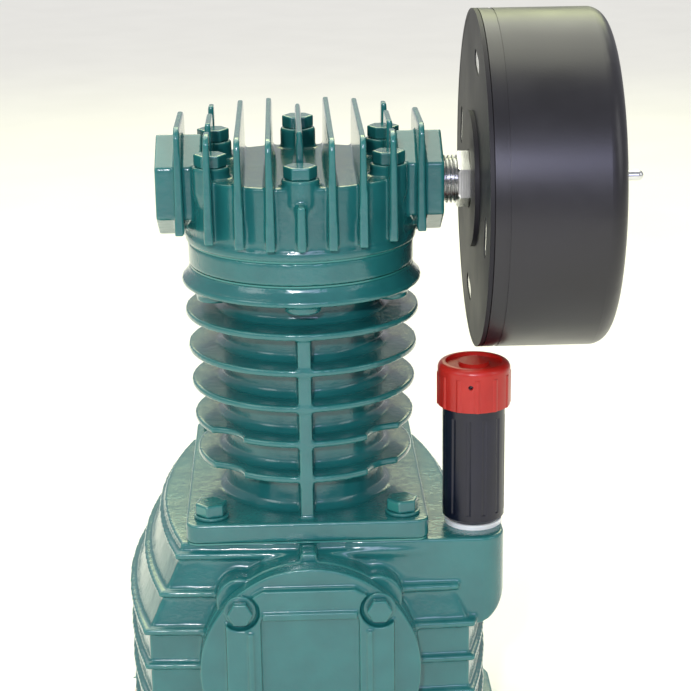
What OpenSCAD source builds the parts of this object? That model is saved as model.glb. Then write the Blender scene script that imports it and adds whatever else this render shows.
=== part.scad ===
// Single-cylinder air compressor pump, belt-drive type, shown without its flywheel.
// The crankshaft lies along Y and leaves the rear; the intake filter is on the +X side.
// Origin: centre of the four foot holes, on the bottom face of the crankcase. +Z is up.

/* [Crankcase] */
// Width between the front corners of the lower walls
case_w = 146; // [140:1:180]
// Depth of the lower walls, front to rear
case_d = 152; // [146:1:190]
// Height from the feet to the cylinder deck
case_h = 150; // [150:1:190]
// Width between the front corners just under the deck
deck_w = 114; // [112:1:130]
// Depth just under the deck
deck_d = 140; // [136:1:170]
// How far the side walls bow outwards at mid-depth
side_bow = 11; // [4:0.5:18]
// How far the front and rear walls bow outwards
front_bow = 2; // [1:0.5:5]
// Wall thickness
case_wall = 7; // [5:0.5:9]
// Height of the crankshaft centre above the feet
crank_z = 96; // [94:1:110]
// Height at which the shoulders meet the upright walls
shoulder_z = 110; // [104:1:118]
// Pitch of the cooling ribs
rib_pitch = 17.2; // [14:0.2:20]
// How far the ribs stand out
rib_out = 2.6; // [1.5:0.1:4]
// Thickness of a rib
rib_t = 3; // [2:0.2:5]
// Width of the foot flange
foot_w = 196; // [190:1:230]
// Thickness of the foot flange
foot_t = 12; // [8:1:16]
// Spacing of the foot holes across
foot_sx = 168; // [160:1:200]
// Spacing of the foot holes front to rear
foot_sy = 112; // [90:1:150]
// Diameter of the foot holes
foot_hole_d = 11; // [9:0.5:13]

/* [Front cover] */
// Diameter of the front cover
cover_d = 99.6; // [92:0.2:110]
// Thickness of the cover plate
cover_t = 8; // [5:0.5:12]
// Height of the raised pad on the cover
cover_pad_t = 3.5; // [2:0.5:6]
// Spacing of the cover bolts, both ways
cover_bolt_s = 62; // [60:1:66]
// How far the cover seat stands out of the front wall
cover_seat_t = 7; // [5:0.5:12]

/* [Cylinder] */
// Distance of the cylinder axis in front of the foot centre
cyl_fwd = 19; // [12:1:22]
// Bore
bore_d = 58; // [50:0.5:60]
// Wall of the barrel
barrel_t = 8; // [6:0.5:9]
// Height of the cylinder between its joint faces
cyl_h = 117.5; // [112:0.5:150]
// Width of the square base flange
base_flange_w = 110; // [104:1:111]
// Thickness of the base flange
base_flange_t = 9; // [7:0.5:12]
// Spacing of the base bolts, both ways
base_bolt_s = 87; // [84:0.5:90]
// How far the base flange runs on behind its square, over the rear bearing
flange_tail = 34; // [20:1:36]
// Radius of the top fin
fin_r = 53.9; // [50:0.1:58]
// How much each lower fin shrinks
fin_step = 0.9; // [0:0.1:1.5]
// Thickness of a fin
fin_t = 3; // [2:0.2:4]
// Pitch of the fins
fin_pitch = 17; // [14:0.2:18]
// Radius of the lip of the top flange
lip_r = 55; // [52:0.2:58]

/* [Head] */
// Radius of the head wall
head_r = 52; // [50:0.5:55]
// Height of the head's flat top above its joint face
head_deck_h = 32.4; // [28:0.2:36]
// Height of the fin tips above the joint face
head_h = 54.5; // [46:0.5:60]
// Radius of the round outline of the head fins
head_fin_r = 59.6; // [57:0.2:64]
// Pitch of the head fins
head_fin_pitch = 13.5; // [12.5:0.1:13.8]
// Thickness of the head fins
head_fin_t = 4.2; // [2.5:0.1:5]
// Thickness of a head fin at its top
head_fin_tip = 2.6; // [1.6:0.1:3]
// Radius of the head bolt circle
head_bolt_r = 45.5; // [44:0.5:46]
// Height of the port axis above the joint face
port_h = 24.5; // [23.5:0.5:26]
// Distance of the port faces from the cylinder axis
port_x = 64.5; // [62:0.5:70]
// Size of the hexagonal port bosses across flats
port_af = 40; // [34:1:40]
// Diameter of the port threads
port_d = 21; // [16:0.5:22]
// Thickness of the valve plate
plate_t = 10.2; // [8:0.2:14]
// Thickness of every gasket
gasket_t = 0.8; // [0.5:0.1:1.5]

/* [Crank train] */
// Stroke of the piston
stroke = 50; // [40:1:52]
// Diameter of the drive end of the shaft
shaft_d = 24; // [20:0.5:25]
// Length of the drive end outside the bearing housing
shaft_out = 52; // [40:1:80]
// Diameter of the crank pin
pin_d = 20; // [16:0.5:24]
// Diameter of the wrist pin
wrist_d = 14; // [12:0.5:18]
// Piston height
piston_h = 48; // [42:1:56]
// Radial clearance of the piston in the bore
piston_gap = 0.08; // [0.05:0.01:0.1]
// Radial clearance of running pins and shafts
run_gap = 0.04; // [0.02:0.01:0.08]
// Swing of the connecting rod to each side, in degrees
rod_swing = 11.5; // [8:0.5:12]

/* [Filter] */
// Outer diameter of the filter can
can_d = 153.6; // [120:0.2:160]
// Length of the filter can
can_l = 57; // [40:1:70]
// Sheet thickness of the filter
can_t = 1.2; // [0.8:0.1:2]
// Length of the nipple between the port face and the filter
nipple_l = 14.5; // [12:0.5:30]
// Diameter of the filter stud
stud_d = 5; // [5:0.5:8]

/* [Filler] */
// Distance of the filler to the side of the cylinder axis
filler_x = 77; // [75:0.5:80]
// Outer diameter of the filler tube
tube_d = 28.4; // [24:0.2:30]
// Height of the visible tube and cap
tube_h = 77.7; // [60:1:100]
// Diameter of the cap
cap_d = 33; // [30:0.5:36]
// Height of the cap
cap_h = 20; // [14:1:26]

/* [Fasteners] */
// Bolt shank diameter
bolt_d = 8; // [6:0.5:8]
// Bolt head across flats
bolt_af = 13; // [10:1:13]
// Bolt head height
bolt_k = 5.5; // [4:0.1:6]
// Shank diameter of the front cover bolts
cover_bolt_d = 6; // [5:0.5:8]
// Head of the front cover bolts across flats
cover_bolt_af = 10; // [8:1:13]
// Radial clearance of a bolt in its hole
bolt_gap = 0.4; // [0.2:0.1:0.6]

/* [Hidden] */
$fn = 96;
e = 0.05;
cy = -cyl_fwd;
crank_r = stroke / 2;
// levels up the stack
cyl_z = case_h + gasket_t;
cyl_top = cyl_z + cyl_h;
plate_z = cyl_top + gasket_t;
head_z = plate_z + plate_t + gasket_t;
deck_top = head_z + head_deck_h;
boss_top = head_z + 38.9;
port_z = head_z + port_h;
flange_top = cyl_z + base_flange_t;
// crank train
crown_z = cyl_top - 0.9;
wrist_z = crown_z - 24;
rod_l = wrist_z - crank_z - crank_r;
web_y = cy + 13;
web_t = 14;
journal_d = 30;
// rear bearing housing
rear_y = case_d / 2 + front_bow;
hsg_flange_t = 10;
hsg_face = rear_y + gasket_t + hsg_flange_t;
hsg_bolt_r = 45;
brg_d = 62;
brg_w = 16;
brg1_y = web_y + web_t + 3;
brg2_y = hsg_face - 10 - brg_w;
cage_d = (brg_d + journal_d) / 2;
ball_d = 9;
seal_w = 7;
// front
front_y = -case_d / 2 - front_bow;
seat_y = front_y - cover_seat_t;
cover_y = seat_y - gasket_t;
cover_face = cover_y - cover_t;
cover_open_r = 34;
// filler
boss_w = 44;
filler_y = front_y + 27;
tube_z = case_h;
seal_t = 2.2;
spigot_d = 18;
// filter
can_x = port_x + nipple_l;
can_r = can_d / 2;
side_ribs = floor((shoulder_z - foot_t - 4) / rib_pitch);
shrink = [for (i = [0:4]) i * fin_step];
head_bolts_at = [for (i = [0:5]) [head_bolt_r * sin(60 * i), cy - head_bolt_r * cos(60 * i)]];
spigot_r = bore_d / 2 + 4.3;
hsg_r = brg_d / 2 + 7;
web_r = 44;
key_w = 6;
big_r = pin_d / 2 + 8;
small_r = wrist_d / 2 + 5.5;
reed_x = 14.5;
reed_t = 0.5;
keeper_y = 13.5;
chamber_h = 25;
slot_r = 57;
dish_r = 31;
slot_angles = [105, 195, 285, 15];
sight_z = foot_t + 17;
drain_z = 26;
drain_y = 24;
ring_grooves = [[4, 1.8], [8.5, 1.8], [13, 3]];
sight_y = front_y - 3.2;
drop_r = 5;
base_bolts_at = [for (x = [-1, 1], y = [0, 1])
  [x * base_bolt_s / 2, cy + (y - 0.5) * base_bolt_s + y * flange_tail]];
square4 = [[-1, -1], [1, -1], [1, 1], [-1, 1]];
teal = "#2f7f7c";

// ---- small shared shapes ----
module hexagon(af, h) { cylinder(d = af / cos(30), h = h, $fn = 6); }
module ring(d_out, d_in, h) {
  difference() {
    cylinder(d = d_out, h = h);
    translate([0, 0, -1]) cylinder(d = d_in, h = h + 2);
  }
}
module along_y(y) { translate([0, y, 0]) rotate([-90, 0, 0]) children(); }
module along_x(x) { translate([x, 0, 0]) rotate([0, 90, 0]) children(); }
module on_crank(y) { translate([0, y, crank_z]) rotate([-90, 0, 0]) children(); }
module rounded(w, d, r) {
  square([w - 2 * r, d], center = true);
  square([w, d - 2 * r], center = true);
  for (s = square4) translate([s[0] * (w / 2 - r), s[1] * (d / 2 - r)]) circle(r = r);
}
module bolt(af, k, d, l) {
  hexagon(af, k);
  translate([0, 0, -l]) cylinder(d = d, h = l + e);
}

// Bowed rectangle in plan: w and d between corners, bows at the middles
function bow_pts(a, b, h, n) = [for (i = [0:n - 1]) [a[0] + (b[0] - a[0]) * i / n, a[1] + (b[1] - a[1]) * i / n]
  + h * (1 - pow(2 * i / n - 1, 2)) * [(b[1] - a[1]), -(b[0] - a[0])] / norm(b - a)];
function case_pts(w, d, g) = let (x = w / 2 + g, y = d / 2 + g) concat(
  bow_pts([-x, -y], [x, -y], front_bow, 6), bow_pts([x, -y], [x, y], side_bow, 10),
  bow_pts([x, y], [-x, y], front_bow, 6), bow_pts([-x, y], [-x, -y], side_bow, 10));
// Share of the way down the shoulder at height z
function drop(z) = min(1, max(0, (case_h - 6 - z) / (case_h - 6 - shoulder_z)));
function wall_w(z) = deck_w + (case_w - deck_w) * drop(z);
function wall_d(z) = deck_d + (case_d - deck_d) * drop(z);
module case_slab(z, t, g) {
  translate([0, 0, z]) linear_extrude(t) polygon(case_pts(wall_w(z), wall_d(z), g));
}

// ---- crankcase and its covers ----
module cover_outline(r, g) {
  circle(r = r);
  for (s = square4) translate(cover_bolt_s / 2 * [s[0], s[1]]) circle(r = g);
}
module filler_boss() {
  right = filler_x + 13;
  low = shoulder_z - 3;
  intersection() {
    translate([0, 0, low]) linear_extrude(tube_z - low)
      translate([right - 40, filler_y]) rounded(80, boss_w, 12);
    translate([0, filler_y + boss_w]) rotate([90, 0, 0]) linear_extrude(2 * boss_w) {
      translate([0, low]) square([right - 16, tube_z - low]);
      translate([0, low + 16]) square([right, tube_z - low - 16]);
      translate([right - 16, low + 16]) circle(r = 16);
    }
  }
}
module case_outside() {
  translate([0, 0, foot_t - e]) linear_extrude(shoulder_z - foot_t + e) polygon(case_pts(case_w, case_d, 0));
  hull() {
    case_slab(shoulder_z - 1, 1, 0);
    case_slab(case_h - 7, 1, 0);
  }
  case_slab(case_h - 7, 7, 0);
  for (i = [-2:side_ribs - 1]) case_slab(shoulder_z - i * rib_pitch - rib_t / 2, rib_t, rib_out);
  linear_extrude(foot_t) rounded(foot_w, case_d + 2 * front_bow + 6, 16);
  along_y(seat_y) translate([0, -crank_z]) linear_extrude(cover_seat_t + 12) cover_outline(cover_d / 2, 11);
  on_crank(rear_y - 20) cylinder(r = hsg_bolt_r + 9, h = 20);
  translate([-3.8, seat_y, case_h - 7]) cube([7.6, 12, 6.5]);
  filler_boss();
  along_y(sight_y) translate([0, -sight_z]) cylinder(r = 16, h = 12);
  along_x(-case_w / 2 - side_bow - 4) translate([-drain_z, drain_y]) cylinder(r = 12, h = 14);
}
module case_inside() {
  in_z = foot_t - 4;
  translate([0, 0, in_z]) linear_extrude(shoulder_z - 4 - in_z)
    polygon(case_pts(case_w - 2 * case_wall, case_d - 2 * case_wall, 0));
  hull() {
    case_slab(shoulder_z - 5, 1, -case_wall);
    case_slab(case_h - 10, 1, -case_wall - 2);
  }
}
module crankcase() {
  color(teal) difference() {
    union() {
      difference() {
        case_outside();
        case_inside();
      }
      for (p = base_bolts_at) translate([p[0], p[1], case_h - 18]) cylinder(r = 8, h = 17);
    }
    translate([0, cy, case_h - 20]) cylinder(r = spigot_r + 0.1, h = 30);
    for (p = base_bolts_at) translate([p[0], p[1], case_h - 16]) cylinder(d = bolt_d + 0.1, h = 20);
    on_crank(rear_y) cylinder(r = hsg_bolt_r + 9.5, h = 10);
    on_crank(seat_y - 1) cylinder(r = cover_open_r, h = 40);
    on_crank(seat_y - 1) for (s = square4) translate(cover_bolt_s / 2 * [s[0], s[1], 0])
      cylinder(d = cover_bolt_d + 0.1, h = 16);
    on_crank(rear_y - 21) cylinder(r = hsg_r + 0.1, h = 30);
    on_crank(rear_y - 15) housing_bolt_spots() cylinder(d = bolt_d + 0.1, h = 20);
    translate([filler_x, filler_y, shoulder_z + 8]) cylinder(d = spigot_d + 0.2, h = 60);
    along_x(case_w / 2 - 26) translate([-shoulder_z - 16, filler_y]) cylinder(r = 7.5, h = 30);
    for (x = [-1, 1], y = [-1, 1]) translate([x * foot_sx / 2, y * foot_sy / 2, -1])
      cylinder(d = foot_hole_d, h = foot_t + 2);
    along_y(sight_y - 1) translate([0, -sight_z]) {
      cylinder(r = 8, h = 30);
      cylinder(r = 11.05, h = 7);
    }
    along_x(-case_w / 2 - side_bow - 5) translate([-drain_z, drain_y]) cylinder(r = 6.55, h = 30);
  }
}
module housing_bolt_spots() {
  for (i = [0:5]) rotate(60 * i + 30) translate([hsg_bolt_r, 0, 0]) children();
}
module front_cover() {
  color(teal) difference() {
    union() {
      on_crank(cover_face) cylinder(d = cover_d, h = cover_t);
      on_crank(cover_y - e) cylinder(r = cover_open_r - 0.4, h = 5);
      on_crank(cover_face - cover_pad_t) linear_extrude(cover_pad_t + e) intersection() {
        circle(d = cover_d - 8);
        rounded(75, 82, 8);
      }
      for (s = [-1, 1]) translate([s * 26.5 - 1.2, cover_face - cover_pad_t - 1.2, crank_z - 21])
        cube([2.4, 4, 42]);
      // raised bar between each pair of bolts
      for (s = [-1, 1]) translate([-21, cover_face - cover_pad_t - 1.4, crank_z + s * (cover_bolt_s / 2 - 2) - 1.7])
        cube([42, 3, 3.4]);
    }
    on_crank(cover_face - cover_pad_t - 1) linear_extrude(cover_pad_t) rounded(44, 60, 5);
    for (s = square4) translate([s[0] * cover_bolt_s / 2, 0, s[1] * cover_bolt_s / 2]) {
      on_crank(cover_face - 10) cylinder(d = cover_bolt_d + 2 * bolt_gap, h = 30);
      on_crank(cover_face - 10) cylinder(r = cover_bolt_af / 2 + 3.6, h = 10);
    }
  }
}
module front_cover_gasket() {
  color("#5b4a36") on_crank(cover_y) linear_extrude(gasket_t) difference() {
    circle(d = cover_d - 1);
    circle(r = cover_open_r + 0.2);
    for (s = square4) translate(cover_bolt_s / 2 * [s[0], s[1]]) circle(d = cover_bolt_d + 2 * bolt_gap);
  }
}
module front_cover_washers() {
  color(teal) for (s = square4) translate([s[0] * cover_bolt_s / 2, 0, s[1] * cover_bolt_s / 2])
    on_crank(cover_face - 1.6) ring(cover_bolt_af + 4.4, cover_bolt_d + 0.6, 1.6);
}
module front_cover_bolts() {
  color(teal) for (s = square4)
    translate([s[0] * cover_bolt_s / 2, cover_face - 1.6, crank_z + s[1] * cover_bolt_s / 2])
      rotate([90, 0, 0]) bolt(cover_bolt_af, 4.4, cover_bolt_d, cover_t + 1.6 + gasket_t + 11);
}
module bearing_housing() {
  color(teal) difference() {
    union() {
      on_crank(brg1_y - 1) cylinder(r = hsg_r, h = hsg_face - brg1_y);
      on_crank(hsg_face - hsg_flange_t) cylinder(r = hsg_bolt_r + 8.5, h = hsg_flange_t);
      on_crank(hsg_face - e) cylinder(r = hsg_r - 3, h = 3);
    }
    on_crank(brg1_y - 2) cylinder(d = brg_d, h = brg_w + 2);
    on_crank(brg1_y) cylinder(d = brg_d - 8, h = 90);
    on_crank(brg2_y) cylinder(d = brg_d, h = 60);
    on_crank(hsg_face - hsg_flange_t - 1) housing_bolt_spots() cylinder(d = bolt_d + 2 * bolt_gap, h = 20);
  }
}
module bearing_housing_gasket() {
  color("#5b4a36") on_crank(rear_y) linear_extrude(gasket_t) difference() {
    circle(r = hsg_bolt_r + 8);
    circle(r = hsg_r + 0.3);
    for (i = [0:5]) rotate(60 * i + 30) translate([hsg_bolt_r, 0]) circle(d = bolt_d + 2 * bolt_gap);
  }
}
module bearing_housing_bolts() {
  color(teal) on_crank(hsg_face) housing_bolt_spots()
    bolt(bolt_af, bolt_k, bolt_d, hsg_flange_t + gasket_t + 12);
}
module oil_seal() {
  color("#1b1b1d") on_crank(brg2_y + brg_w + 1) ring(brg_d, journal_d + 2 * run_gap, seal_w);
}

// ---- ball bearings ----
module race() { rotate_extrude() translate([cage_d / 2, 0]) circle(r = ball_d / 2 + 0.3); }
module bearing_outer(y) {
  on_crank(y) difference() {
    ring(brg_d, cage_d + 5, brg_w);
    translate([0, 0, brg_w / 2]) race();
  }
}
module bearing_inner(y) {
  on_crank(y) difference() {
    ring(cage_d - 5, journal_d, brg_w);
    translate([0, 0, brg_w / 2]) race();
  }
}
module bearing_balls(y) {
  on_crank(y + brg_w / 2) {
    translate([0, 0, -3]) ring(cage_d + 2, cage_d - 2, 6);
    for (i = [0:8]) rotate(40 * i) translate([cage_d / 2, 0, 0]) sphere(d = ball_d);
  }
}
module front_bearing_outer() { color("silver") bearing_outer(brg1_y); }
module front_bearing_inner() { color("silver") bearing_inner(brg1_y); }
module front_bearing_balls() { color("gainsboro") bearing_balls(brg1_y); }
module rear_bearing_outer() { color("silver") bearing_outer(brg2_y); }
module rear_bearing_inner() { color("silver") bearing_inner(brg2_y); }
module rear_bearing_balls() { color("gainsboro") bearing_balls(brg2_y); }

// ---- crank train, at top dead centre ----
module crankshaft() {
  shaft_z0 = web_y + web_t;
  color("#8d9094") difference() {
    union() {
      on_crank(web_y) linear_extrude(web_t) {
        intersection() {
          circle(r = web_r);
          translate([-web_r, 4]) square([2 * web_r, web_r]);
        }
        translate([0, -crank_r]) circle(r = 17);
        polygon([[-web_r + 1, 6], [-17, -crank_r], [17, -crank_r], [web_r - 1, 6]]);
      }
      on_crank(shaft_z0 - e) cylinder(d = journal_d + 8, h = brg1_y - shaft_z0 + e);
      on_crank(shaft_z0) cylinder(d = journal_d, h = hsg_face + 4 - shaft_z0);
      on_crank(hsg_face) cylinder(d = shaft_d, h = shaft_out);
    }
    translate([-key_w / 2, hsg_face + 12, crank_z + shaft_d / 2 - key_w / 2]) cube([key_w, shaft_out, key_w]);
    on_crank(hsg_face + shaft_out - 22) cylinder(d = bolt_d, h = 30);
  }
}
module crank_pin() {
  color("#c4c6c8") translate([0, 0, crank_r]) {
    on_crank(cy - 11.2) cylinder(d = pin_d, h = web_y - cy + 10.8);
    on_crank(cy - 14) cylinder(d = pin_d + 8, h = 2.8 + e);
  }
}
module at_big() { translate([0, 0, crank_r]) children(); }
module at_small() { translate([0, 0, wrist_z - crank_z]) children(); }
module connecting_rod() {
  color("#a9adb0") difference() {
    union() {
      at_big() on_crank(cy - 11) cylinder(r = big_r, h = 22);
      at_small() on_crank(cy - 9) cylinder(r = small_r, h = 18);
      translate([0, cy + 5, crank_z]) rotate([90, 0, 0]) linear_extrude(10)
        polygon([[-8, crank_r], [8, crank_r], [6.5, crank_r + rod_l], [-6.5, crank_r + rod_l]]);
    }
    at_big() on_crank(cy - 12) cylinder(d = pin_d + 5, h = 24);
    at_small() on_crank(cy - 12) cylinder(d = wrist_d + 4, h = 24);
    for (s = [-1, 1]) translate([-3.2, cy + s * 4.5 - 2, crank_z + crank_r + big_r + 4])
      cube([6.4, 4, rod_l - big_r - small_r - 8]);
    translate([-1.6, cy - 3.1, crank_z + crank_r - big_r - 1]) cube([3.2, 6.2, 5]);
  }
}
module big_end_bush() { color("#b08d57") at_big() on_crank(cy - 11) ring(pin_d + 5, pin_d + 2 * run_gap, 22); }
module small_end_bush() {
  color("#b08d57") at_small() on_crank(cy - 9) ring(wrist_d + 4, wrist_d + 2 * run_gap, 18);
}
module oil_dipper() {
  tip = crank_z + crank_r - big_r - 22;
  color("#9a9da0") translate([0, cy, 0]) {
    translate([-1.5, -3, tip]) cube([3, 6, 26]);
    translate([-4.5, -3, tip]) cube([9, 6, 7]);
  }
}
module piston() {
  r = bore_d / 2 - piston_gap;
  color("#c9ccce") translate([0, cy, 0]) difference() {
    translate([0, 0, crown_z - piston_h]) cylinder(r = r, h = piston_h);
    translate([0, 0, crown_z - piston_h - 1]) difference() {
      cylinder(r = r - 4.5, h = piston_h - 6);
      for (s = [-1, 1]) translate([0, s * 20.5 - 10, wrist_z - crown_z + piston_h + 1]) rotate([-90, 0, 0])
        cylinder(d = wrist_d + 9, h = 20);
    }
    translate([0, 0, wrist_z]) rotate([90, 0, 0]) cylinder(d = wrist_d, h = 80, center = true);
    for (g = ring_grooves) translate([0, 0, crown_z - g[0] - g[1]]) ring(bore_d + 4, bore_d - 6, g[1]);
    translate([reed_x - 8, -16, crown_z - 1.6]) cube([16, 26, 2]);
  }
}
module wrist_pin() {
  color("#c4c6c8") translate([0, cy - 25, wrist_z]) rotate([-90, 0, 0]) ring(wrist_d, wrist_d - 5, 50);
}
module wrist_pin_clips() {
  color("#8f9193") for (y = [-26.3, 25.3]) translate([0, cy + y, wrist_z]) rotate([-90, 0, 0])
    ring(wrist_d, wrist_d - 3, 1);
}
module piston_ring(i) {
  g = ring_grooves[i];
  color("#6e7072") translate([0, cy, crown_z - g[0] - g[1] + 0.05]) ring(bore_d - 0.06, bore_d - 5.6, g[1] - 0.1);
}
module top_ring() { piston_ring(0); }
module second_ring() { piston_ring(1); }
module oil_ring() { piston_ring(2); }

// ---- cylinder ----
module cylinder_block() {
  r = bore_d / 2 + barrel_t;
  fin0 = flange_top + 17.2;
  translate([0, flange_tail / 2, cyl_z]) linear_extrude(base_flange_t)
    rounded(base_flange_w, base_flange_w + flange_tail, 6);
  translate([0, 0, cyl_z - 3]) cylinder(r = spigot_r, h = 4);
  translate([0, 0, cyl_z]) cylinder(r = r, h = cyl_h);
  translate([0, 0, flange_top - e]) cylinder(r1 = r + 3, r2 = r, h = 3);
  for (i = [0:4]) translate([0, 0, fin0 + i * fin_pitch]) {
    cylinder(r = fin_r - shrink[4 - i], h = fin_t);
    translate([0, 0, fin_t - e]) cylinder(r1 = r + 2.6, r2 = r, h = 2.6);
    translate([0, 0, -2.6 + e]) cylinder(r1 = r, r2 = r + 2.6, h = 2.6);
  }
  translate([0, 0, cyl_top - 8.2]) cylinder(r = lip_r, h = 2.6);
  translate([0, 0, cyl_top - 5.6 - e]) cylinder(r1 = lip_r - 0.6, r2 = head_r - 0.4, h = 4);
  translate([0, 0, cyl_top - 4]) cylinder(r = head_r - 0.4, h = 4);
  translate([0, 0, cyl_top - 11.6]) cylinder(r1 = r, r2 = r + 3.4, h = 3.6);
  for (p = head_bolts_at) translate([p[0], p[1] - cy, cyl_top - 12]) cylinder(r = 8.2, h = 8);
  translate([-2.9, 0, 0]) rotate([90, 0, 90]) linear_extrude(5.8) polygon([[-30, flange_top - 1],
    [-fin_r + shrink[4] + 0.6, flange_top - 1], [-fin_r + 0.9, fin0 + 4 * fin_pitch + 1], [-30, fin0 + 4 * fin_pitch + 1]]);
}
module cylinder_holes() {
  translate([0, 0, cyl_z - 10]) cylinder(d = bore_d, h = cyl_h + 20);
  for (p = base_bolts_at) translate([p[0], p[1] - cy, 0]) {
    translate([0, 0, cyl_z - 1]) cylinder(d = bolt_d + 2 * bolt_gap, h = 20);
    translate([0, 0, flange_top]) cylinder(r = 15.5, h = 17.2 + 1.5 * fin_pitch);
  }
  for (p = head_bolts_at) translate([p[0], p[1] - cy, cyl_top - 14]) cylinder(d = bolt_d + 0.1, h = 20);
}
module cylinder_body() {
  color(teal) translate([0, cy, 0]) difference() {
    cylinder_block();
    cylinder_holes();
  }
}
module base_gasket() {
  color("#5b4a36") translate([0, cy, case_h]) linear_extrude(gasket_t) difference() {
    translate([0, flange_tail / 2]) rounded(base_flange_w - 1, base_flange_w + flange_tail - 1, 5.5);
    circle(r = spigot_r + 0.3);
    for (p = base_bolts_at) translate([p[0], p[1] - cy]) circle(d = bolt_d + 2 * bolt_gap);
  }
}
module base_washers() {
  color(teal) for (p = base_bolts_at) translate([p[0], p[1], flange_top]) ring(16, bolt_d + 0.6, 1.6);
}
module base_bolts() {
  color(teal) for (p = base_bolts_at) translate([p[0], p[1], flange_top + 1.6]) rotate(15)
    bolt(bolt_af, bolt_k, bolt_d, base_flange_t + gasket_t + 1.6 + 13);
}

// ---- valve plate and reeds ----
module bolt_pattern_holes(h) {
  for (p = head_bolts_at) translate([p[0], p[1], -1]) cylinder(d = bolt_d + 2 * bolt_gap, h = h + 2);
}
module cylinder_gasket() {
  color("#5b4a36") translate([0, 0, cyl_top]) difference() {
    translate([0, cy, 0]) ring(2 * head_r - 1.4, bore_d + 1, gasket_t);
    bolt_pattern_holes(gasket_t);
  }
}
module valve_plate() {
  color(teal) translate([0, 0, plate_z]) difference() {
    translate([0, cy, 0]) cylinder(r = head_r - 0.4, h = plate_t);
    bolt_pattern_holes(plate_t);
    for (s = [-1, 1]) translate([s * reed_x, cy - 6, -1]) cylinder(r = 5.5, h = plate_t + 2);
    translate([reed_x, cy + keeper_y, -1]) cylinder(d = 4.2, h = plate_t + 2);
    translate([-reed_x, cy + keeper_y, plate_t - 8]) cylinder(d = 4.05, h = 10);
  }
}
module inlet_reed() {
  color("#7f8fa0") translate([reed_x - 7, cy - 15, plate_z - reed_t]) cube([14, 24, reed_t]);
}
module discharge_reed() {
  color("#7f8fa0") translate([-reed_x - 7, cy - 15, plate_z + plate_t]) cube([14, 24, reed_t]);
}
module valve_stop() {
  color("#8b8e91") {
    translate([-reed_x - 7, cy, plate_z + plate_t]) difference() {
      union() {
        translate([0, 9.3, 0]) cube([14, 9, 5]);
        translate([0, -13, 2.6]) cube([14, 22.4, 2.4]);
      }
      translate([7, keeper_y, -1]) cylinder(d = 4.2, h = 10);
    }
    translate([reed_x - 7, cy + 9.3, plate_z - 1.2]) difference() {
      cube([14, 8, 1.2]);
      translate([7, keeper_y - 9.3, -1]) cylinder(d = 4.05, h = 10);
    }
  }
}
module valve_screws() {
  top = plate_z + plate_t;
  color("#a5a8ab") {
    translate([-reed_x, cy + keeper_y, top + 5]) bolt(7, 3, 4, 12);
    translate([reed_x, cy + keeper_y, top]) bolt(7, 3, 4, plate_t + 1.2);
  }
}
module chamber(h) {
  for (s = [0, 1]) mirror([s, 0, 0]) intersection() {
    cylinder(r = 34, h = h);
    translate([3, -40, -1]) cube([40, 80, h + 2]);
  }
}
module head_gasket() {
  color("#5b4a36") translate([0, 0, head_z - gasket_t]) difference() {
    translate([0, cy, 0]) cylinder(r = head_r - 0.6, h = gasket_t);
    bolt_pattern_holes(gasket_t);
    translate([0, cy, -1]) chamber(5);
  }
}

// ---- cylinder head ----
module fin_profile(l, h, r) {
  translate([-l, 0]) square([2 * l, h - r]);
  translate([-l + r, 0]) square([2 * (l - r), h]);
  for (s = [-1, 1]) translate([s * (l - r), h - r]) circle(r = r);
}
// seat height of a head bolt: the seats rise a little towards the rear
function seat(p) = boss_top - head_z + 0.065 * (p[1] - cy);
module head_fin(x) {
  l = sqrt(head_fin_r * head_fin_r - x * x);
  t = head_fin_t / 2;
  intersection() {
    translate([x - 5, 0, 6.2]) rotate([90, 0, 90]) linear_extrude(10) fin_profile(l, head_h - 6.2, 5);
    translate([x, 70]) rotate([90, 0, 0]) linear_extrude(140)
      polygon([[-t, 6], [t, 6], [head_fin_tip / 2, head_h + 1], [-head_fin_tip / 2, head_h + 1]]);
  }
}
module head_solid() {
  cylinder(r = head_r, h = head_deck_h);
  cylinder(r = head_r + 0.8, h = 4);
  for (k = [-4:4]) head_fin(k * head_fin_pitch);
  for (s = [-1, 1]) translate([s > 0 ? port_x - 21 : -port_x, 0, port_h]) rotate([0, 90, 0])
    hexagon(port_af, 21);
  for (p = head_bolts_at) translate([p[0], p[1] - cy, 0]) {
    cylinder(r = 6, h = 17);
    translate([0, 0, 16]) cylinder(r1 = 6, r2 = 8.4, h = 9 + e);
    translate([0, 0, 25]) cylinder(r = 8.4, h = seat(p) - 25);
  }
}
module cylinder_head() {
  color(teal) difference() {
    translate([0, cy, head_z]) difference() {
      head_solid();
      translate([0, 0, -1]) chamber(chamber_h + 1);
      for (s = [-1, 1]) {
        translate([s > 0 ? 47 : -port_x - 1, 0, port_h]) rotate([0, 90, 0]) cylinder(d = port_d + 0.1, h = port_x - 46);
        translate([s > 0 ? 28 : -50, 0, port_h - 5]) rotate([0, 90, 0]) cylinder(r = 7.5, h = 22);
      }
    }
    for (p = head_bolts_at) translate([p[0], p[1], head_z]) {
      translate([0, 0, -1]) cylinder(d = bolt_d + 2 * bolt_gap, h = 60);
      translate([0, 0, seat(p)]) cylinder(r = 9.2, h = 30);
    }
    // the middle fin stops at the front and rear bolts
    for (s = [-1, 1]) translate([-4, cy + s * head_bolt_r + (s > 0 ? 0 : -20), head_z + 26])
      difference() {
        cube([8, 20, 34]);
        translate([4, s > 0 ? 0 : 20, -1]) cylinder(r = 8.4, h = seat([0, cy + s * head_bolt_r]) - 25);
      }
  }
}
module head_bolts() {
  color(teal) for (p = head_bolts_at) translate([p[0], p[1], head_z + seat(p)])
    bolt(bolt_af, bolt_k, bolt_d, head_z + seat(p) - cyl_top + 12);
}

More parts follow.
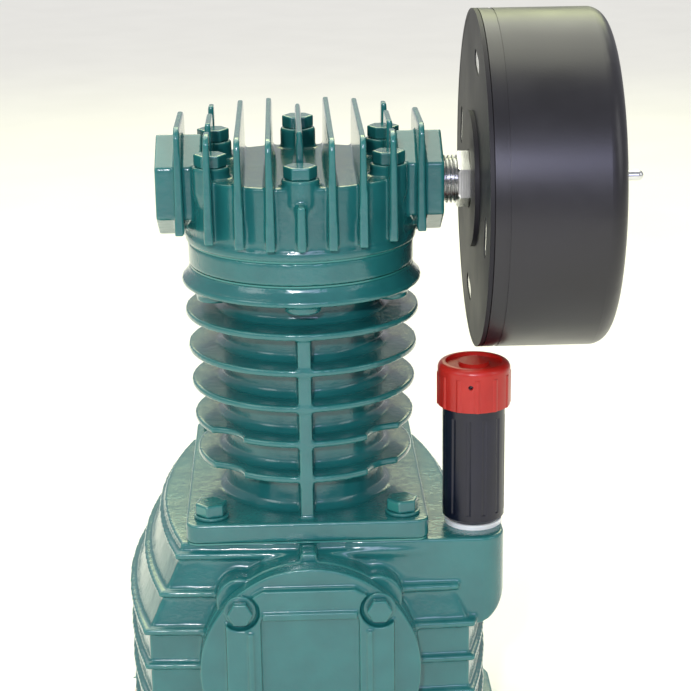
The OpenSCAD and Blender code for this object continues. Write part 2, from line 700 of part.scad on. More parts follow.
// ---- intake filter ----
module on_port(x) { translate([x, cy, port_z]) rotate([0, 90, 0]) children(); }
module intake_nipple() {
  color("#c9cbcc") difference() {
    union() {
      on_port(port_x - 15) cylinder(d = port_d, h = nipple_l + 15 + 8.9);
      on_port(can_x - 7.4) rotate(30) hexagon(22.6, 7.4 - 0.1);
      for (i = [0:3]) on_port(port_x + 0.4 + i * 1.7) cylinder(r = port_d / 2 + 0.5, h = 0.9);
    }
    on_port(port_x - 20) cylinder(r = 7.5, h = 80);
  }
}
module drum(r, l, c) {
  rotate_extrude() {
    square([r, l - c]);
    square([r - c, l]);
    translate([r - c, l - c]) circle(r = c);
  }
}
module slot(a, r, l, w) {
  rotate(a) translate([r, 0, 0]) {
    translate([-w / 2, -(l - w) / 2, 0]) cube([w, l - w, 8]);
    for (s = [-1, 1]) translate([0, s * (l - w) / 2, 0]) cylinder(d = w, h = 8);
  }
}
module filter_base() {
  r = can_r - can_t - 0.5;
  color("#242427") difference() {
    union() {
      on_port(can_x + 0.1) cylinder(r = r, h = can_t);
      on_port(can_x - 1.9) cylinder(r = dish_r, h = 3);
      on_port(can_x + 0.1) ring(2 * r, 2 * (r - can_t), 9);
      on_port(can_x) ring(2 * can_r, 2 * r - 1, 1.8);
      on_port(can_x) cylinder(r = 15, h = 9);
    }
    on_port(can_x - 9) cylinder(d = port_d + 0.2, h = 30);
    on_port(can_x - 10) cylinder(r = 13.4, h = 10);
    for (a = slot_angles) on_port(can_x - 3) slot(a, slot_r, 19, 8);
  }
}
module filter_element() {
  color("#d8cfae") on_port(can_x + can_t + 0.5) ring(136, 96, can_l - 6);
}
module filter_stud() {
  color("#b9bbbd") {
    on_port(can_x + 10) cylinder(d = stud_d, h = can_l + 9);
    translate([can_x + 9, cy - 14, port_z - 4]) cube([3, 28, 8]);
    on_port(can_x + can_l + 19) sphere(d = stud_d);
  }
}
module filter_can() {
  color("#242427") on_port(can_x + 2.2) difference() {
    drum(can_r, can_l, 8);
    translate([0, 0, -1]) drum(can_r - can_t, can_l - can_t + 1, 8 - can_t);
    cylinder(d = stud_d + 1, h = 2 * can_l);
    // shallow bead rolled round the open end
    translate([0, 0, 5]) ring(2 * can_r + 4, 2 * can_r - 0.7, 1.6);
  }
}
module cover_nut() {
  z0 = can_x + can_l + 2.6;
  color("#c9cbcc") difference() {
    union() {
      on_port(z0) cylinder(r = 8, h = 1.4);
      on_port(z0 + 1.3) hexagon(10, 5);
    }
    on_port(z0 - 1) cylinder(d = stud_d + 2 * run_gap, h = 40);
  }
}

// ---- filler and breather ----
module on_filler(z) { translate([filler_x, filler_y, z]) children(); }
module filler_tube() {
  color("#20202c") on_filler(tube_z + seal_t) difference() {
    union() {
      cylinder(r1 = tube_d / 2 - 2.2, r2 = tube_d / 2, h = 2.2);
      translate([0, 0, 2.2 - e]) cylinder(d = tube_d, h = tube_h - seal_t - 5 - 2.2);
      translate([0, 0, -16]) cylinder(d = spigot_d, h = 17);
    }
    translate([0, 0, -20]) cylinder(r = 6, h = 120);
    for (a = [0:30:330]) rotate(a + 15) translate([tube_d / 2 + 1.6, 0, 5]) cylinder(r = 2, h = tube_h - cap_h - 12);
  }
}
module filler_seal() { color("white") on_filler(tube_z) ring(26.4, spigot_d + 0.2, seal_t); }
module filler_cap() {
  color("#d8352a") on_filler(tube_z + tube_h - cap_h) difference() {
    union() {
      drum(cap_d / 2, cap_h, 3);
      for (a = [0:30:330]) rotate(a) translate([cap_d / 2 - 1.6, 0, 0]) cylinder(r = 2, h = cap_h - 5);
    }
    translate([0, 0, -1]) cylinder(d = tube_d + 0.8, h = cap_h - 3.4);
    translate([0, 0, cap_h - 1.8]) ring(cap_d - 7, 14, 4);
    rotate([90, 0, 0]) translate([-3, 12, cap_d / 2 - 5]) cylinder(r = 1.1, h = 10);
  }
}

// ---- oil sight glass and drain ----
module sight_glass() { color("#c98f2a") along_y(sight_y + 0.4) translate([0, -sight_z]) cylinder(r = 10.9, h = 3.4); }
module sight_bezel() {
  color("#c9cbcc") along_y(sight_y - 3) translate([0, -sight_z]) {
    ring(28, 17, 3);
    translate([0, 0, 3 - e]) ring(21.8, 17, 0.4 + e);
  }
}
module drain_plug() {
  color("#b9bbbd") along_x(-case_w / 2 - side_bow - 5.5) translate([-drain_z, drain_y]) rotate([180, 0, 0])
    bolt(17, 7, 13, 14);
}
module drain_washer() {
  color("#b87333") along_x(-case_w / 2 - side_bow - 5.5) translate([-drain_z, drain_y]) ring(20, 13.4, 1.5);
}

crankcase();
front_cover();
front_cover_gasket();
front_cover_washers();
front_cover_bolts();
bearing_housing();
bearing_housing_gasket();
bearing_housing_bolts();
front_bearing_outer();
front_bearing_inner();
front_bearing_balls();
rear_bearing_outer();
rear_bearing_inner();
rear_bearing_balls();
oil_seal();
crankshaft();
crank_pin();
connecting_rod();
big_end_bush();
small_end_bush();
oil_dipper();
piston();
wrist_pin();
wrist_pin_clips();
top_ring();
second_ring();
oil_ring();
cylinder_body();  // cylinder
base_gasket();
base_washers();
base_bolts();
cylinder_gasket();
valve_plate();
inlet_reed();
discharge_reed();
valve_stop();
valve_screws();
head_gasket();
cylinder_head();
head_bolts();
intake_nipple();
filter_base();
filter_element();
filter_stud();
filter_can();
cover_nut();
filler_tube();
filler_seal();
filler_cap();
sight_glass();
sight_bezel();
drain_plug();
drain_washer();
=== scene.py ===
import math
import bpy
import bmesh
from mathutils import Matrix, Vector


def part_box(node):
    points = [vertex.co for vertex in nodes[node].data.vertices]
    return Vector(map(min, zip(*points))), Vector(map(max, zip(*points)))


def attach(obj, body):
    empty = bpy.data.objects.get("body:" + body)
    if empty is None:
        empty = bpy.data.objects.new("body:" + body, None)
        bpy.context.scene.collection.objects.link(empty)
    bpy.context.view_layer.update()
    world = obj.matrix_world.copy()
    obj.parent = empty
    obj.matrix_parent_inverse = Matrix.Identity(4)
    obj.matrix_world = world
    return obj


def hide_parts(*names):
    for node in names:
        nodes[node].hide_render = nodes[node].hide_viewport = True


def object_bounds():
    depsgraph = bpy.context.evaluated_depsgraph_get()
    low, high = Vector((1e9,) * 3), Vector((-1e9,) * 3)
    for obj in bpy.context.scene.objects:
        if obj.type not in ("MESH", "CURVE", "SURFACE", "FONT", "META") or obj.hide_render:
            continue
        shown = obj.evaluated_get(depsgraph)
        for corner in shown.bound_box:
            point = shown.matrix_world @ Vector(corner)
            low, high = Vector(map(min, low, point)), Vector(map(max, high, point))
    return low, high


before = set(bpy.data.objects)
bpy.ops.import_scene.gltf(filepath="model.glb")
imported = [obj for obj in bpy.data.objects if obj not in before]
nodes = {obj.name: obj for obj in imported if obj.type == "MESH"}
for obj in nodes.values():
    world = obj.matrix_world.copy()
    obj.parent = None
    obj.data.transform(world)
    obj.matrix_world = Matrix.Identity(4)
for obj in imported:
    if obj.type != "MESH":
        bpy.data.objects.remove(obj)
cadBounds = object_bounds()
print("frame loaded:", len(nodes), "nodes")


def sRgb(hexColour):
    # sRGB hex to linear RGBA
    parts = [int(hexColour[i:i + 2], 16) / 255 for i in (1, 3, 5)]
    linear = [p / 12.92 if p <= 0.04045 else ((p + 0.055) / 1.055) ** 2.4 for p in parts]
    return (*linear, 1.0)


def grey(value):
    return (value, value, value, 1.0)


def tones(first, second, start=0.3, stop=0.7):
    # two stops of a colour ramp, from hex colours
    return [(start, sRgb(first)), (stop, sRgb(second))]


def perMm(sizeMm):
    # texture scale for a pattern of that size
    return 1000.0 / sizeMm


def feed(material, node, links):
    # join outputs, or the first output of nodes, to named inputs
    for name, source in links.items():
        output = source.outputs[0] if isinstance(source, bpy.types.Node) else source
        material.node_tree.links.new(output, node.inputs[name])


def addNode(material, kind, settings=None, links=None):
    # one node with its settings, ramp stops and incoming links
    node = material.node_tree.nodes.new(kind)
    for name, value in (settings or {}).items():
        if name == "stops":
            for element, (position, colour) in zip(node.color_ramp.elements, value):
                element.position = position
                element.color = colour
        elif isinstance(name, str) and hasattr(node, name):
            setattr(node, name, value)
        else:
            node.inputs[name].default_value = value
    feed(material, node, links or {})
    return node


def newMaterial(name, surface):
    # an empty node material with a Principled surface and object coordinates
    material = bpy.data.materials.new(name)
    material.use_nodes = True
    material.node_tree.nodes.clear()
    shader = addNode(material, "ShaderNodeBsdfPrincipled", surface)
    addNode(material, "ShaderNodeOutputMaterial", links={"Surface": shader})
    place = addNode(material, "ShaderNodeTexCoord").outputs["Object"]
    return material, shader, place


def enamelOnCasting():
    # gloss machine enamel brushed over sand castings: deep teal, wet highlights, a lumpy film
    look = {"base": "#1f6766", "pooled": "#1a5e5e", "thin": "#2d7a72", "speckMm": 1.0,
            "lumpMm": 3.2, "runMm": 16, "roughness": 0.2, "coatWeight": 0.65,
            "coatRoughness": 0.04}
    material, shader, place = newMaterial("enamelOnCasting", {
        "IOR": 1.5, "Coat IOR": 1.45, "Coat Weight": look["coatWeight"],
        "Coat Roughness": look["coatRoughness"]})
    runs = addNode(material, "ShaderNodeTexNoise",
                   {"Scale": perMm(look["runMm"]), "Detail": 2.0}, {"Vector": place})
    lumps = addNode(material, "ShaderNodeTexNoise",
                    {"Scale": perMm(look["lumpMm"]), "Detail": 2.0}, {"Vector": place})
    specks = addNode(material, "ShaderNodeTexNoise",
                     {"Scale": perMm(look["speckMm"]), "Detail": 1.0}, {"Vector": place})
    film = addNode(material, "ShaderNodeValToRGB",
                   {"stops": tones(look["pooled"], look["base"], 0.35, 0.7)}, {"Fac": runs})
    edge = addNode(material, "ShaderNodeNewGeometry").outputs["Pointiness"]
    rubbed = addNode(material, "ShaderNodeValToRGB",
                     {"stops": [(0.51, grey(0)), (0.6, grey(0.9))]}, {"Fac": edge})
    colour = addNode(material, "ShaderNodeMix", {"data_type": "RGBA", 7: sRgb(look["thin"])},
                     {0: rubbed, 6: film}).outputs[2]
    dull = addNode(material, "ShaderNodeMapRange",
                   {"From Min": 0.35, "From Max": 0.7, "To Min": look["roughness"],
                    "To Max": look["roughness"] + 0.06}, {"Value": lumps})
    sag = addNode(material, "ShaderNodeBump", {"Strength": 0.35, "Distance": 0.0005},
                  {"Height": runs})
    broad = addNode(material, "ShaderNodeBump", {"Strength": 0.55, "Distance": 0.00017},
                    {"Height": lumps, "Normal": sag})
    fine = addNode(material, "ShaderNodeBump", {"Strength": 0.7, "Distance": 0.00014},
                   {"Height": specks, "Normal": broad})
    feed(material, shader, {"Base Color": colour, "Roughness": dull, "Normal": broad,
                            "Coat Normal": fine})
    return material


def blackPowderCoat(name, roughness, gloss):
    # black powder coat on sheet steel: soft wide highlight with a faint orange peel
    # the faint violet cast of base and pale is a painted reflection of the bluish front light; the
    # coat itself is neutral black
    look = {"base": "#17161b", "pale": "#1c1b21", "peelMm": 1.1, "cloudMm": 35}
    material, shader, place = newMaterial(name, {"IOR": 1.5, "Specular IOR Level": gloss})
    peel = addNode(material, "ShaderNodeTexNoise",
                   {"Scale": perMm(look["peelMm"]), "Detail": 2.0}, {"Vector": place})
    cloud = addNode(material, "ShaderNodeTexNoise",
                    {"Scale": perMm(look["cloudMm"]), "Detail": 3.0}, {"Vector": place})
    colour = addNode(material, "ShaderNodeValToRGB",
                     {"stops": tones(look["base"], look["pale"], 0.35, 0.7)}, {"Fac": cloud})
    rough = addNode(material, "ShaderNodeMapRange",
                    {"From Min": 0.3, "From Max": 0.7, "To Min": roughness - 0.04,
                     "To Max": roughness + 0.06}, {"Value": cloud})
    bump = addNode(material, "ShaderNodeBump", {"Strength": 0.25, "Distance": 0.00008},
                   {"Height": peel})
    feed(material, shader, {"Base Color": colour, "Roughness": rough, "Normal": bump})
    return material


def turnedMetal(name, pale, dark, roughness, lineMm, axis):
    # machined or plated metal: bright, slightly cloudy, with turning lines across the given axis
    # the lines are drawn coarser than a lathe leaves them, so that they show
    look = {"alongMm": 9, "cloudMm": 6, "anisotropic": 0.25}
    material, shader, place = newMaterial(name, {"Metallic": 1.0,
                                                 "Anisotropic": look["anisotropic"]})
    stretch = [perMm(look["alongMm"])] * 3
    stretch[axis] = perMm(lineMm)
    spread = addNode(material, "ShaderNodeMapping", {"Scale": stretch}, {"Vector": place})
    lines = addNode(material, "ShaderNodeTexNoise", {"Scale": 1.0, "Detail": 2.0},
                    {"Vector": spread})
    cloud = addNode(material, "ShaderNodeTexNoise",
                    {"Scale": perMm(look["cloudMm"]), "Detail": 4.0}, {"Vector": place})
    colour = addNode(material, "ShaderNodeValToRGB", {"stops": tones(dark, pale)}, {"Fac": cloud})
    rough = addNode(material, "ShaderNodeMapRange",
                    {"To Min": roughness - 0.07, "To Max": roughness + 0.1}, {"Value": lines})
    bump = addNode(material, "ShaderNodeBump", {"Strength": 0.25, "Distance": 0.00004},
                   {"Height": lines})
    feed(material, shader, {"Base Color": colour, "Roughness": rough, "Normal": bump})
    return material


def castMetal(name, pale, dark, roughness, grainMm, depthMm):
    # bare casting: dull metal with a pitted sand grain, drawn coarser than real so that it shows
    material, shader, place = newMaterial(name, {"Metallic": 1.0})
    grain = addNode(material, "ShaderNodeTexNoise",
                    {"Scale": perMm(grainMm), "Detail": 4.0}, {"Vector": place})
    pits = addNode(material, "ShaderNodeTexVoronoi", {"Scale": perMm(grainMm * 2)},
                   {"Vector": place})
    colour = addNode(material, "ShaderNodeValToRGB", {"stops": tones(dark, pale)}, {"Fac": grain})
    rough = addNode(material, "ShaderNodeMapRange",
                    {"To Min": roughness - 0.08, "To Max": roughness + 0.1}, {"Value": grain})
    bump = addNode(material, "ShaderNodeBump", {"Strength": 0.4, "Distance": depthMm / 1000},
                   {"Height": pits.outputs["Distance"]})
    feed(material, shader, {"Base Color": colour, "Roughness": rough, "Normal": bump})
    return material


def mouldedPlastic(name, base, worn, roughness, grainMm, surface):
    # injection-moulded plastic: even colour with a faint flow cloud and a satin skin
    # the mould grain is drawn coarser than real, so that it shows
    look = {"cloudMm": 14}
    material, shader, place = newMaterial(name, {"IOR": 1.49, **surface})
    cloud = addNode(material, "ShaderNodeTexNoise",
                    {"Scale": perMm(look["cloudMm"]), "Detail": 3.0}, {"Vector": place})
    grain = addNode(material, "ShaderNodeTexNoise",
                    {"Scale": perMm(grainMm), "Detail": 2.0}, {"Vector": place})
    colour = addNode(material, "ShaderNodeValToRGB",
                     {"stops": tones(base, worn, 0.35, 0.8)}, {"Fac": cloud})
    rough = addNode(material, "ShaderNodeMapRange",
                    {"To Min": roughness - 0.06, "To Max": roughness + 0.08}, {"Value": cloud})
    bump = addNode(material, "ShaderNodeBump", {"Strength": 0.3, "Distance": 0.00006},
                   {"Height": grain})
    feed(material, shader, {"Base Color": colour, "Roughness": rough, "Normal": bump})
    return material


def pleatedPaper():
    # resin-treated filter paper in fine pleats: matt cream, with painted shade darkening the folds
    look = {"paintedFoldShade": "#9c8e66", "crest": "#ddd2ac", "foldMm": 3.2}
    material, shader, place = newMaterial("pleatedPaper", {"Roughness": 0.9, "Sheen Weight": 0.2})
    scale = (1, perMm(look["foldMm"]), perMm(look["foldMm"]))
    spread = addNode(material, "ShaderNodeMapping", {"Scale": scale}, {"Vector": place})
    folds = addNode(material, "ShaderNodeTexWave",
                    {"Scale": 1.0, "Distortion": 0.4, "Detail": 1.0},
                    {"Vector": spread}).outputs["Fac"]
    # the darker fold colour is painted shade in the creases of the pleats; the crest colour is the
    # paper's own cream
    colour = addNode(material, "ShaderNodeValToRGB",
                     {"stops": tones(look["paintedFoldShade"], look["crest"], 0.1, 0.6)}, {"Fac": folds})
    bump = addNode(material, "ShaderNodeBump", {"Strength": 0.6, "Distance": 0.0008},
                   {"Height": folds})
    feed(material, shader, {"Base Color": colour, "Normal": bump})
    return material


def sightWindow():
    # clear acrylic window with amber oil behind it: glossy, slightly hazy
    look = {"oil": "#b8741c", "glow": "#dca548", "hazeMm": 8}
    material, shader, place = newMaterial("sightWindow", {
        "Roughness": 0.06, "IOR": 1.49, "Transmission Weight": 0.6})
    haze = addNode(material, "ShaderNodeTexNoise",
                   {"Scale": perMm(look["hazeMm"]), "Detail": 3.0}, {"Vector": place})
    colour = addNode(material, "ShaderNodeValToRGB",
                     {"stops": tones(look["oil"], look["glow"], 0.3, 0.8)}, {"Fac": haze})
    feed(material, shader, {"Base Color": colour})
    return material


finishes = {
    "enamel": enamelOnCasting(),
    "black": blackPowderCoat("blackPowderCoat", 0.33, 0.55),
    "mattBlack": blackPowderCoat("mattBlackPowderCoat", 0.52, 0.3),
    "plated": turnedMetal("zincPlatedSteel", "#e2e3e2", "#cfd0cf", 0.2, 0.5, 0),
    "ground": turnedMetal("groundSteel", "#cfd1d4", "#b4b6b9", 0.18, 0.3, 1),
    "iron": castMetal("machinedIron", "#8b8c8f", "#5f6063", 0.42, 0.8, 0.05),
    "aluminium": castMetal("aluminiumCasting", "#d5d7d9", "#a8abad", 0.38, 0.9, 0.06),
    "spring": turnedMetal("bluedSpringSteel", "#7d8fa6", "#56657a", 0.25, 0.4, 0),
    "bronze": turnedMetal("bearingBronze", "#c89a5b", "#9c7440", 0.3, 0.4, 1),
    "copper": turnedMetal("copperSheet", "#d08a63", "#a9613f", 0.3, 0.5, 0),
    "rubber": mouldedPlastic("nitrileRubber", "#141416", "#202022", 0.6, 0.4, {}),
    "white": mouldedPlastic("whiteNylon", "#efeeea", "#dddbd3", 0.38, 0.5,
                            {"Subsurface Weight": 0.1}),
    "tube": mouldedPlastic("navyPolyamide", "#0d0e1e", "#141527", 0.3, 0.5, {}),
    "cap": mouldedPlastic("redPolypropylene", "#a51a13", "#b3251b", 0.3, 0.5,
                          {"Subsurface Weight": 0.08}),
    "paper": pleatedPaper(),
    "window": sightWindow(),
}
nodeFinish = {
    "enamel": "crankcase front_cover front_cover_washers front_cover_bolts bearing_housing "
              "bearing_housing_bolts cylinder base_washers base_bolts valve_plate cylinder_head "
              "head_bolts front_cover_gasket bearing_housing_gasket base_gasket cylinder_gasket "
              "head_gasket",
    "black": "filter_can",
    "mattBlack": "filter_base",
    "plated": "intake_nipple filter_stud cover_nut sight_bezel drain_plug valve_stop valve_screws "
              "oil_dipper",
    "ground": "crank_pin wrist_pin front_bearing_outer front_bearing_inner front_bearing_balls "
              "rear_bearing_outer rear_bearing_inner rear_bearing_balls",
    "iron": "crankshaft top_ring second_ring oil_ring",
    "aluminium": "connecting_rod piston",
    "spring": "wrist_pin_clips inlet_reed discharge_reed",
    "bronze": "big_end_bush small_end_bush",
    "copper": "drain_washer",
    "rubber": "oil_seal",
    "white": "filler_seal",
    "tube": "filler_tube",
    "cap": "filler_cap",
    "paper": "filter_element",
    "window": "sight_glass",
}
for finish, names in nodeFinish.items():
    for name in names.split():
        mesh = nodes[name].data
        mesh.materials.clear()
        mesh.materials.append(finishes[finish])
print("materials done")


# castings get soft sand-cast edges and thick paint fillets
castings = {
    # node: voxel in mm, smoothing passes
    "crankcase": (0.8, 10), "cylinder": (0.7, 9), "cylinder_head": (0.7, 8),
    "front_cover": (0.6, 7), "valve_plate": (0.8, 4), "bearing_housing": (0.8, 5),
    "head_bolts": (0.45, 4), "base_bolts": (0.45, 4), "front_cover_bolts": (0.45, 4),
    "bearing_housing_bolts": (0.45, 4),
    "base_washers": (0.4, 3), "front_cover_washers": (0.4, 3),
}
for name, (voxelMm, passes) in castings.items():
    remesh = nodes[name].modifiers.new("castSkin", "REMESH")
    remesh.mode = "VOXEL"
    remesh.voxel_size = voxelMm / 1000 * 1
    remesh.use_smooth_shade = True
    smooth = nodes[name].modifiers.new("softEdges", "SMOOTH")
    smooth.factor = 0.5
    smooth.iterations = passes

edgeBreak = {"widthMm": 0.4, "segments": 2, "sharperThan": 40}
for name, node in nodes.items():
    if name in castings:
        continue
    bevel = node.modifiers.new("edgeBreak", "BEVEL")
    bevel.width = edgeBreak["widthMm"] / 1000
    bevel.segments = edgeBreak["segments"]
    bevel.limit_method = "ANGLE"
    bevel.angle_limit = math.radians(edgeBreak["sharperThan"])
    bevel.use_clamp_overlap = True
    for face in node.data.polygons:
        face.use_smooth = True
    sharp = node.modifiers.new("weighted", "WEIGHTED_NORMAL")
    sharp.keep_sharp = True
print("castings rounded")


mergeWithin = 1e-6
creaseAngle = 42


def meshPiece(name, points, faces, finish, body, replaced=(), smooth=True):
    # a mesh from points in mm and faces, riding on a body
    mesh = bpy.data.meshes.new(name)
    mesh.from_pydata([[c / 1000 for c in p] for p in points], [], faces)
    mesh.materials.append(finishes[finish])
    work = bmesh.new()
    work.from_mesh(mesh)
    bmesh.ops.remove_doubles(work, verts=work.verts, dist=mergeWithin)
    bmesh.ops.recalc_face_normals(work, faces=work.faces)
    work.to_mesh(mesh)
    work.free()
    piece = bpy.data.objects.new(name, mesh)
    bpy.context.collection.objects.link(piece)
    for face in mesh.polygons:
        face.use_smooth = smooth
    if smooth:
        mesh.set_sharp_from_angle(angle=math.radians(creaseAngle))
    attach(piece, body)
    if replaced:
        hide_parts(*replaced)
    return piece


def aboutPort(x, radius, angle, centre):
    # point at a radius and angle round a line along X
    return (x, centre[0] + radius * math.cos(angle), centre[1] + radius * math.sin(angle))


def turned(profile, centre, steps, radiusAt=None):
    # closed shell turned round X from (x, radius) pairs; the profile closes on itself
    points, faces = [], []
    rows = len(profile)
    for k in range(steps):
        angle = 2 * math.pi * k / steps
        for row, (x, radius) in enumerate(profile):
            here = radius if radiusAt is None else radiusAt(x, radius, angle)
            points.append(aboutPort(x, here, angle, centre))
    for k in range(steps):
        ahead = (k + 1) % steps
        for row in range(rows):
            nextRow = (row + 1) % rows
            faces.append((k * rows + row, k * rows + nextRow,
                          ahead * rows + nextRow, ahead * rows + row))
    return points, faces


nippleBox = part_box("intake_nipple")
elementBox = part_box("filter_element")
portCentre = [(elementBox[0][i] + elementBox[1][i]) * 500 for i in (1, 2)]
print("port line", portCentre)

# radii and places along X in mm
nipple = {"bore": 7.5, "root": 9.7, "crest": 11.0, "pitch": 1.81, "threadFrom": 64.8,
          "hexFrom": 71.6, "hexTo": 78.9, "acrossFlats": 22.6, "plain": 10.4, "chamfer": 0.8,
          "relief": 0.2, "gap": 0.1, "innerStep": 1.5, "neck": 10.3, "rowsPerPitch": 14,
          "hexRows": 14, "crestWidth": 0.7, "cornerCut": 1.10, "cornerSlope": 1.6,
          "threadSteps": 96, "hexSteps": 180}


def threadRadius(x, radius, angle):
    # rolled thread: rounded crests and roots that wind round the rod
    if radius != nipple["crest"]:
        return radius
    phase = ((x - nipple["threadFrom"]) / nipple["pitch"] - angle / (2 * math.pi)) % 1.0
    wave = 0.5 - 0.5 * math.cos(2 * math.pi * phase)
    return nipple["root"] + (nipple["crest"] - nipple["root"]) * wave ** nipple["crestWidth"]


def hexRadius(x, radius, angle):
    # hexagon with chamfered corners
    if radius != nipple["acrossFlats"]:
        return radius
    sector = (angle + math.pi / 2) % (math.pi / 3) - math.pi / 6
    flat = nipple["acrossFlats"] / 2 / math.cos(sector)
    nearEnd = min(x - nipple["hexFrom"], nipple["hexTo"] - x)
    corner = nipple["acrossFlats"] / 2 * nipple["cornerCut"] + nearEnd * nipple["cornerSlope"]
    return min(flat, corner)


start = nippleBox[0][0] * 1000
threadLength = nipple["hexFrom"] - nipple["threadFrom"]
rowCount = int(threadLength / nipple["pitch"] * nipple["rowsPerPitch"])
threadRows = [(nipple["threadFrom"] + k * nipple["pitch"] / nipple["rowsPerPitch"], nipple["crest"])
              for k in range(rowCount)]
threadEnd = nipple["hexFrom"] - nipple["gap"]
profile = [(start, nipple["bore"]), (start, nipple["plain"] - nipple["chamfer"]),
           (start + nipple["chamfer"], nipple["plain"]),
           (nipple["threadFrom"] - nipple["relief"], nipple["plain"])] + threadRows
profile += [(threadEnd, nipple["bore"] + nipple["innerStep"]), (threadEnd, nipple["bore"])]
points, faces = turned(profile, portCentre, nipple["threadSteps"], threadRadius)
meshPiece("nippleThread", points, faces, "plated", "pump", ["intake_nipple"])
hexRows = [(nipple["hexFrom"] + (nipple["hexTo"] - nipple["hexFrom"]) * k / nipple["hexRows"],
            nipple["acrossFlats"]) for k in range(nipple["hexRows"] + 1)]
profile = [(nipple["hexFrom"], nipple["bore"])] + hexRows + [(nipple["hexTo"], nipple["neck"])]
profile += [(nippleBox[1][0] * 1000, nipple["neck"]), (nippleBox[1][0] * 1000, nipple["bore"])]
points, faces = turned(profile, portCentre, nipple["hexSteps"], hexRadius)
meshPiece("nippleHex", points, faces, "plated", "pump", ["intake_nipple"])

# filter paper folded into pleats between two plated end caps
element = {"from": elementBox[0][0] * 1000 + 1.6, "to": elementBox[1][0] * 1000 - 1.6,
           "outer": 67.2, "inner": 49.5, "pleats": 84, "halfPaper": 0.35, "capThick": 1.5,
           "capLip": 5.0, "capInner": (48.2, 48.8, 48.7, 48.1),
           "capOuter": (67.6, 68.0, 67.5, 67.4), "lipRound": 0.1, "capSteps": 120}
points, faces = [], []
folds = element["pleats"] * 2
for k in range(folds):
    angle = 2 * math.pi * k / folds
    radius = element["outer"] if k % 2 else element["inner"]
    for x in (element["from"], element["to"]):
        for thick in (-element["halfPaper"], element["halfPaper"]):
            points.append(aboutPort(x, radius + thick, angle, portCentre))
for k in range(folds):
    a, b = 4 * k, 4 * ((k + 1) % folds)
    faces += [(a, a + 2, b + 2, b), (a + 1, b + 1, b + 3, a + 3),
              (a, b, b + 1, a + 1), (a + 2, a + 3, b + 3, b + 2)]
meshPiece("pleatedPaper", points, faces, "paper", "pump", ["filter_element"], smooth=False)
for side, x0 in (("Inner", element["from"] - element["capThick"]), ("Outer", element["to"])):
    x1 = x0 + element["capThick"]
    lipX = x1 + element["capLip"] if side == "Inner" else x0 - element["capLip"]
    flat, back = (x0, x1) if side == "Inner" else (x1, x0)
    rimX = flat + (lipX - flat) * element["lipRound"]
    in0, in1, in2, in3 = element["capInner"]
    out0, out1, out2, out3 = element["capOuter"]
    profile = [(flat, in0), (flat, out0), (rimX, out1), (lipX, out1), (lipX, out2), (back, out3),
               (back, in1), (lipX, in2), (lipX, in3)]
    points, faces = turned(profile, portCentre, element["capSteps"])
    meshPiece("element" + side + "Cap", points, faces, "plated", "pump", ["filter_element"])

# the plated end of the element shows through the slots of the base plate, pressed flush into them
slotPlate = {"radius": 57, "long": 18.4, "wide": 7.2, "angles": (105, 195, 285, 15), "corners": 24,
             "from": elementBox[0][0] * 1000 - 1.2, "to": elementBox[0][0] * 1000 + 0.4}
corners = slotPlate["corners"]
for plateAngle in slotPlate["angles"]:
    turnBy = math.radians(plateAngle)
    outline = []
    for k in range(corners):
        along = 2 * math.pi * k / corners
        shift = (slotPlate["long"] - slotPlate["wide"]) / 2 * (1 if math.sin(along) >= 0 else -1)
        outline.append((slotPlate["radius"] + slotPlate["wide"] / 2 * math.cos(along),
                        slotPlate["wide"] / 2 * math.sin(along) + shift))
    points = []
    for x in (slotPlate["from"], slotPlate["to"]):
        for u, v in outline:
            a = u * math.cos(turnBy) - v * math.sin(turnBy)
            b = u * math.sin(turnBy) + v * math.cos(turnBy)
            points.append((x, portCentre[0] + b, portCentre[1] - a))
    faces = [tuple(range(corners)), tuple(range(corners, 2 * corners))]
    faces += [(k, (k + 1) % corners, corners + (k + 1) % corners, corners + k)
              for k in range(corners)]
    meshPiece("slotPlate" + str(plateAngle), points, faces, "plated", "pump", ["filter_element"])
print("nipple and filter element done")


def paleSweep(name, hexColour, roughness):
    # plain matt paper with a barely visible mottle
    look = {"mottleMm": 120, "darker": 0.97}
    material, shader, place = newMaterial(name, {"Roughness": roughness})
    mottle = addNode(material, "ShaderNodeTexNoise",
                     {"Scale": perMm(look["mottleMm"]), "Detail": 2.0}, {"Vector": place})
    low = [c * look["darker"] for c in sRgb(hexColour)[:3]] + [1.0]
    colour = addNode(material, "ShaderNodeValToRGB",
                     {"stops": [(0.3, low), (0.7, sRgb(hexColour))]}, {"Fac": mottle})
    feed(material, shader, {"Base Color": colour})
    return material


stageSettings = {"floorSize": 14.0, "floorAhead": 3.0, "floorBelow": 0.0003, "colour": "#f1efe8",
                 "floorRoughness": 0.7, "world": "#eff0f6", "worldStrength": 0.52}
floorPlace = (0, stageSettings["floorAhead"], cadBounds[0][2] - stageSettings["floorBelow"])
bpy.ops.mesh.primitive_plane_add(size=stageSettings["floorSize"], location=floorPlace)
floor = bpy.context.object
floor.name = "floor"
floor.data.materials.append(paleSweep("paleFloor", stageSettings["colour"],
                                      stageSettings["floorRoughness"]))

world = bpy.data.worlds.new("studio")
bpy.context.scene.world = world
world.use_nodes = True
background = world.node_tree.nodes["Background"]
background.inputs["Color"].default_value = sRgb(stageSettings["world"])
background.inputs["Strength"].default_value = stageSettings["worldStrength"]


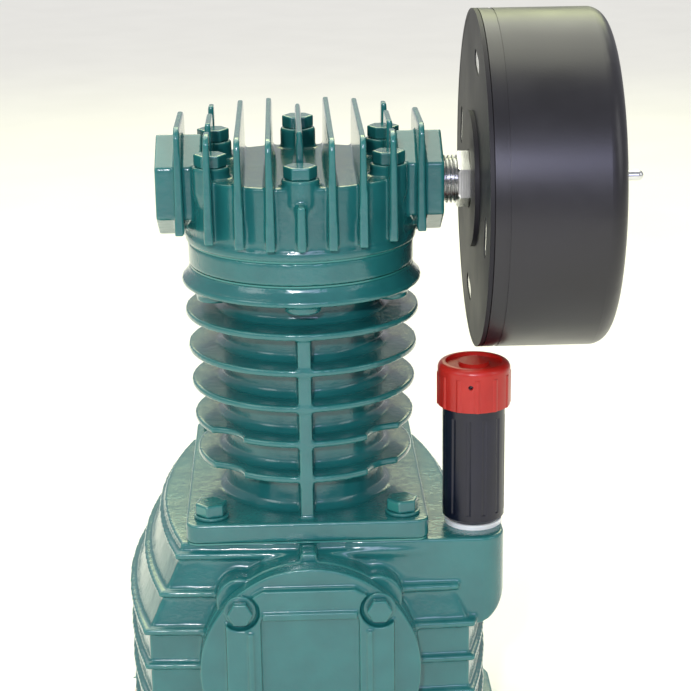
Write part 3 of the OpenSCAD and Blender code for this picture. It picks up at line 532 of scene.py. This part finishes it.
def softbox(name, place, target, size, power, colour="#ffffff"):
    # soft rectangular lamp aimed at a point
    data = bpy.data.lights.new(name, "AREA")
    data.shape = "RECTANGLE"
    data.size, data.size_y = size
    data.energy = power
    data.color = sRgb(colour)[:3]
    lamp = bpy.data.objects.new(name, data)
    bpy.context.collection.objects.link(lamp)
    lamp.location = place
    lamp.rotation_euler = (Vector(target) - Vector(place)).to_track_quat("-Z", "Y").to_euler()
    return lamp


middle = (0.0, 0.0, 0.2)
# yellowish from above and behind, bluish from the front, and a small hard flash for the glints
softbox("overhead", (-0.2, 0.5, 1.9), middle, (2.4, 1.6), 36, "#f8f9e2")
softbox("keyLeft", (-1.3, -1.0, 1.1), middle, (0.7, 0.9), 6)
softbox("fillRight", (1.4, -0.7, 0.9), middle, (0.6, 0.9), 3)
softbox("frontPanel", (0.1, -1.7, 0.95), middle, (1.1, 0.5), 8, "#ceceff")
softbox("flash", (-0.14, -1.2, 0.74), middle, (0.05, 0.035), 7)
softbox("behind", (0.2, 1.6, 1.2), middle, (1.6, 0.5), 8, "#e4ee9c")
softbox("farFloor", (0.0, 4.6, 3.2), (0.0, 4.6, 0.0), (7.0, 4.0), 95)

cameraSettings = {"focal": 1900, "frameWidth": 691, "sensorMm": 36, "yaw": 1.8, "pitch": 17.0,
                  "roll": 0.8, "nearest": 0.05, "place": (-0.0068, -0.8689, 0.4862)}
yaw, pitch, roll = (math.radians(cameraSettings[k]) for k in ("yaw", "pitch", "roll"))
ahead = Vector((math.sin(yaw) * math.cos(pitch), math.cos(yaw) * math.cos(pitch), -math.sin(pitch)))
level = Vector((math.cos(yaw), -math.sin(yaw), 0))
down = ahead.cross(level)
right = math.cos(roll) * level + math.sin(roll) * down
down = -math.sin(roll) * level + math.cos(roll) * down
cameraData = bpy.data.cameras.new("camera")
cameraData.sensor_width = cameraSettings["sensorMm"]
focalInFrames = cameraSettings["focal"] / cameraSettings["frameWidth"]
cameraData.lens = focalInFrames * cameraSettings["sensorMm"]
cameraData.clip_start = cameraSettings["nearest"]
camera = bpy.data.objects.new("camera", cameraData)
bpy.context.collection.objects.link(camera)
turn = Matrix((right, -down, -ahead)).transposed().to_4x4()
camera.matrix_world = Matrix.Translation(cameraSettings["place"]) @ turn
bpy.context.scene.camera = camera
bpy.context.scene.view_settings.view_transform = "Standard"
print("stage ready")
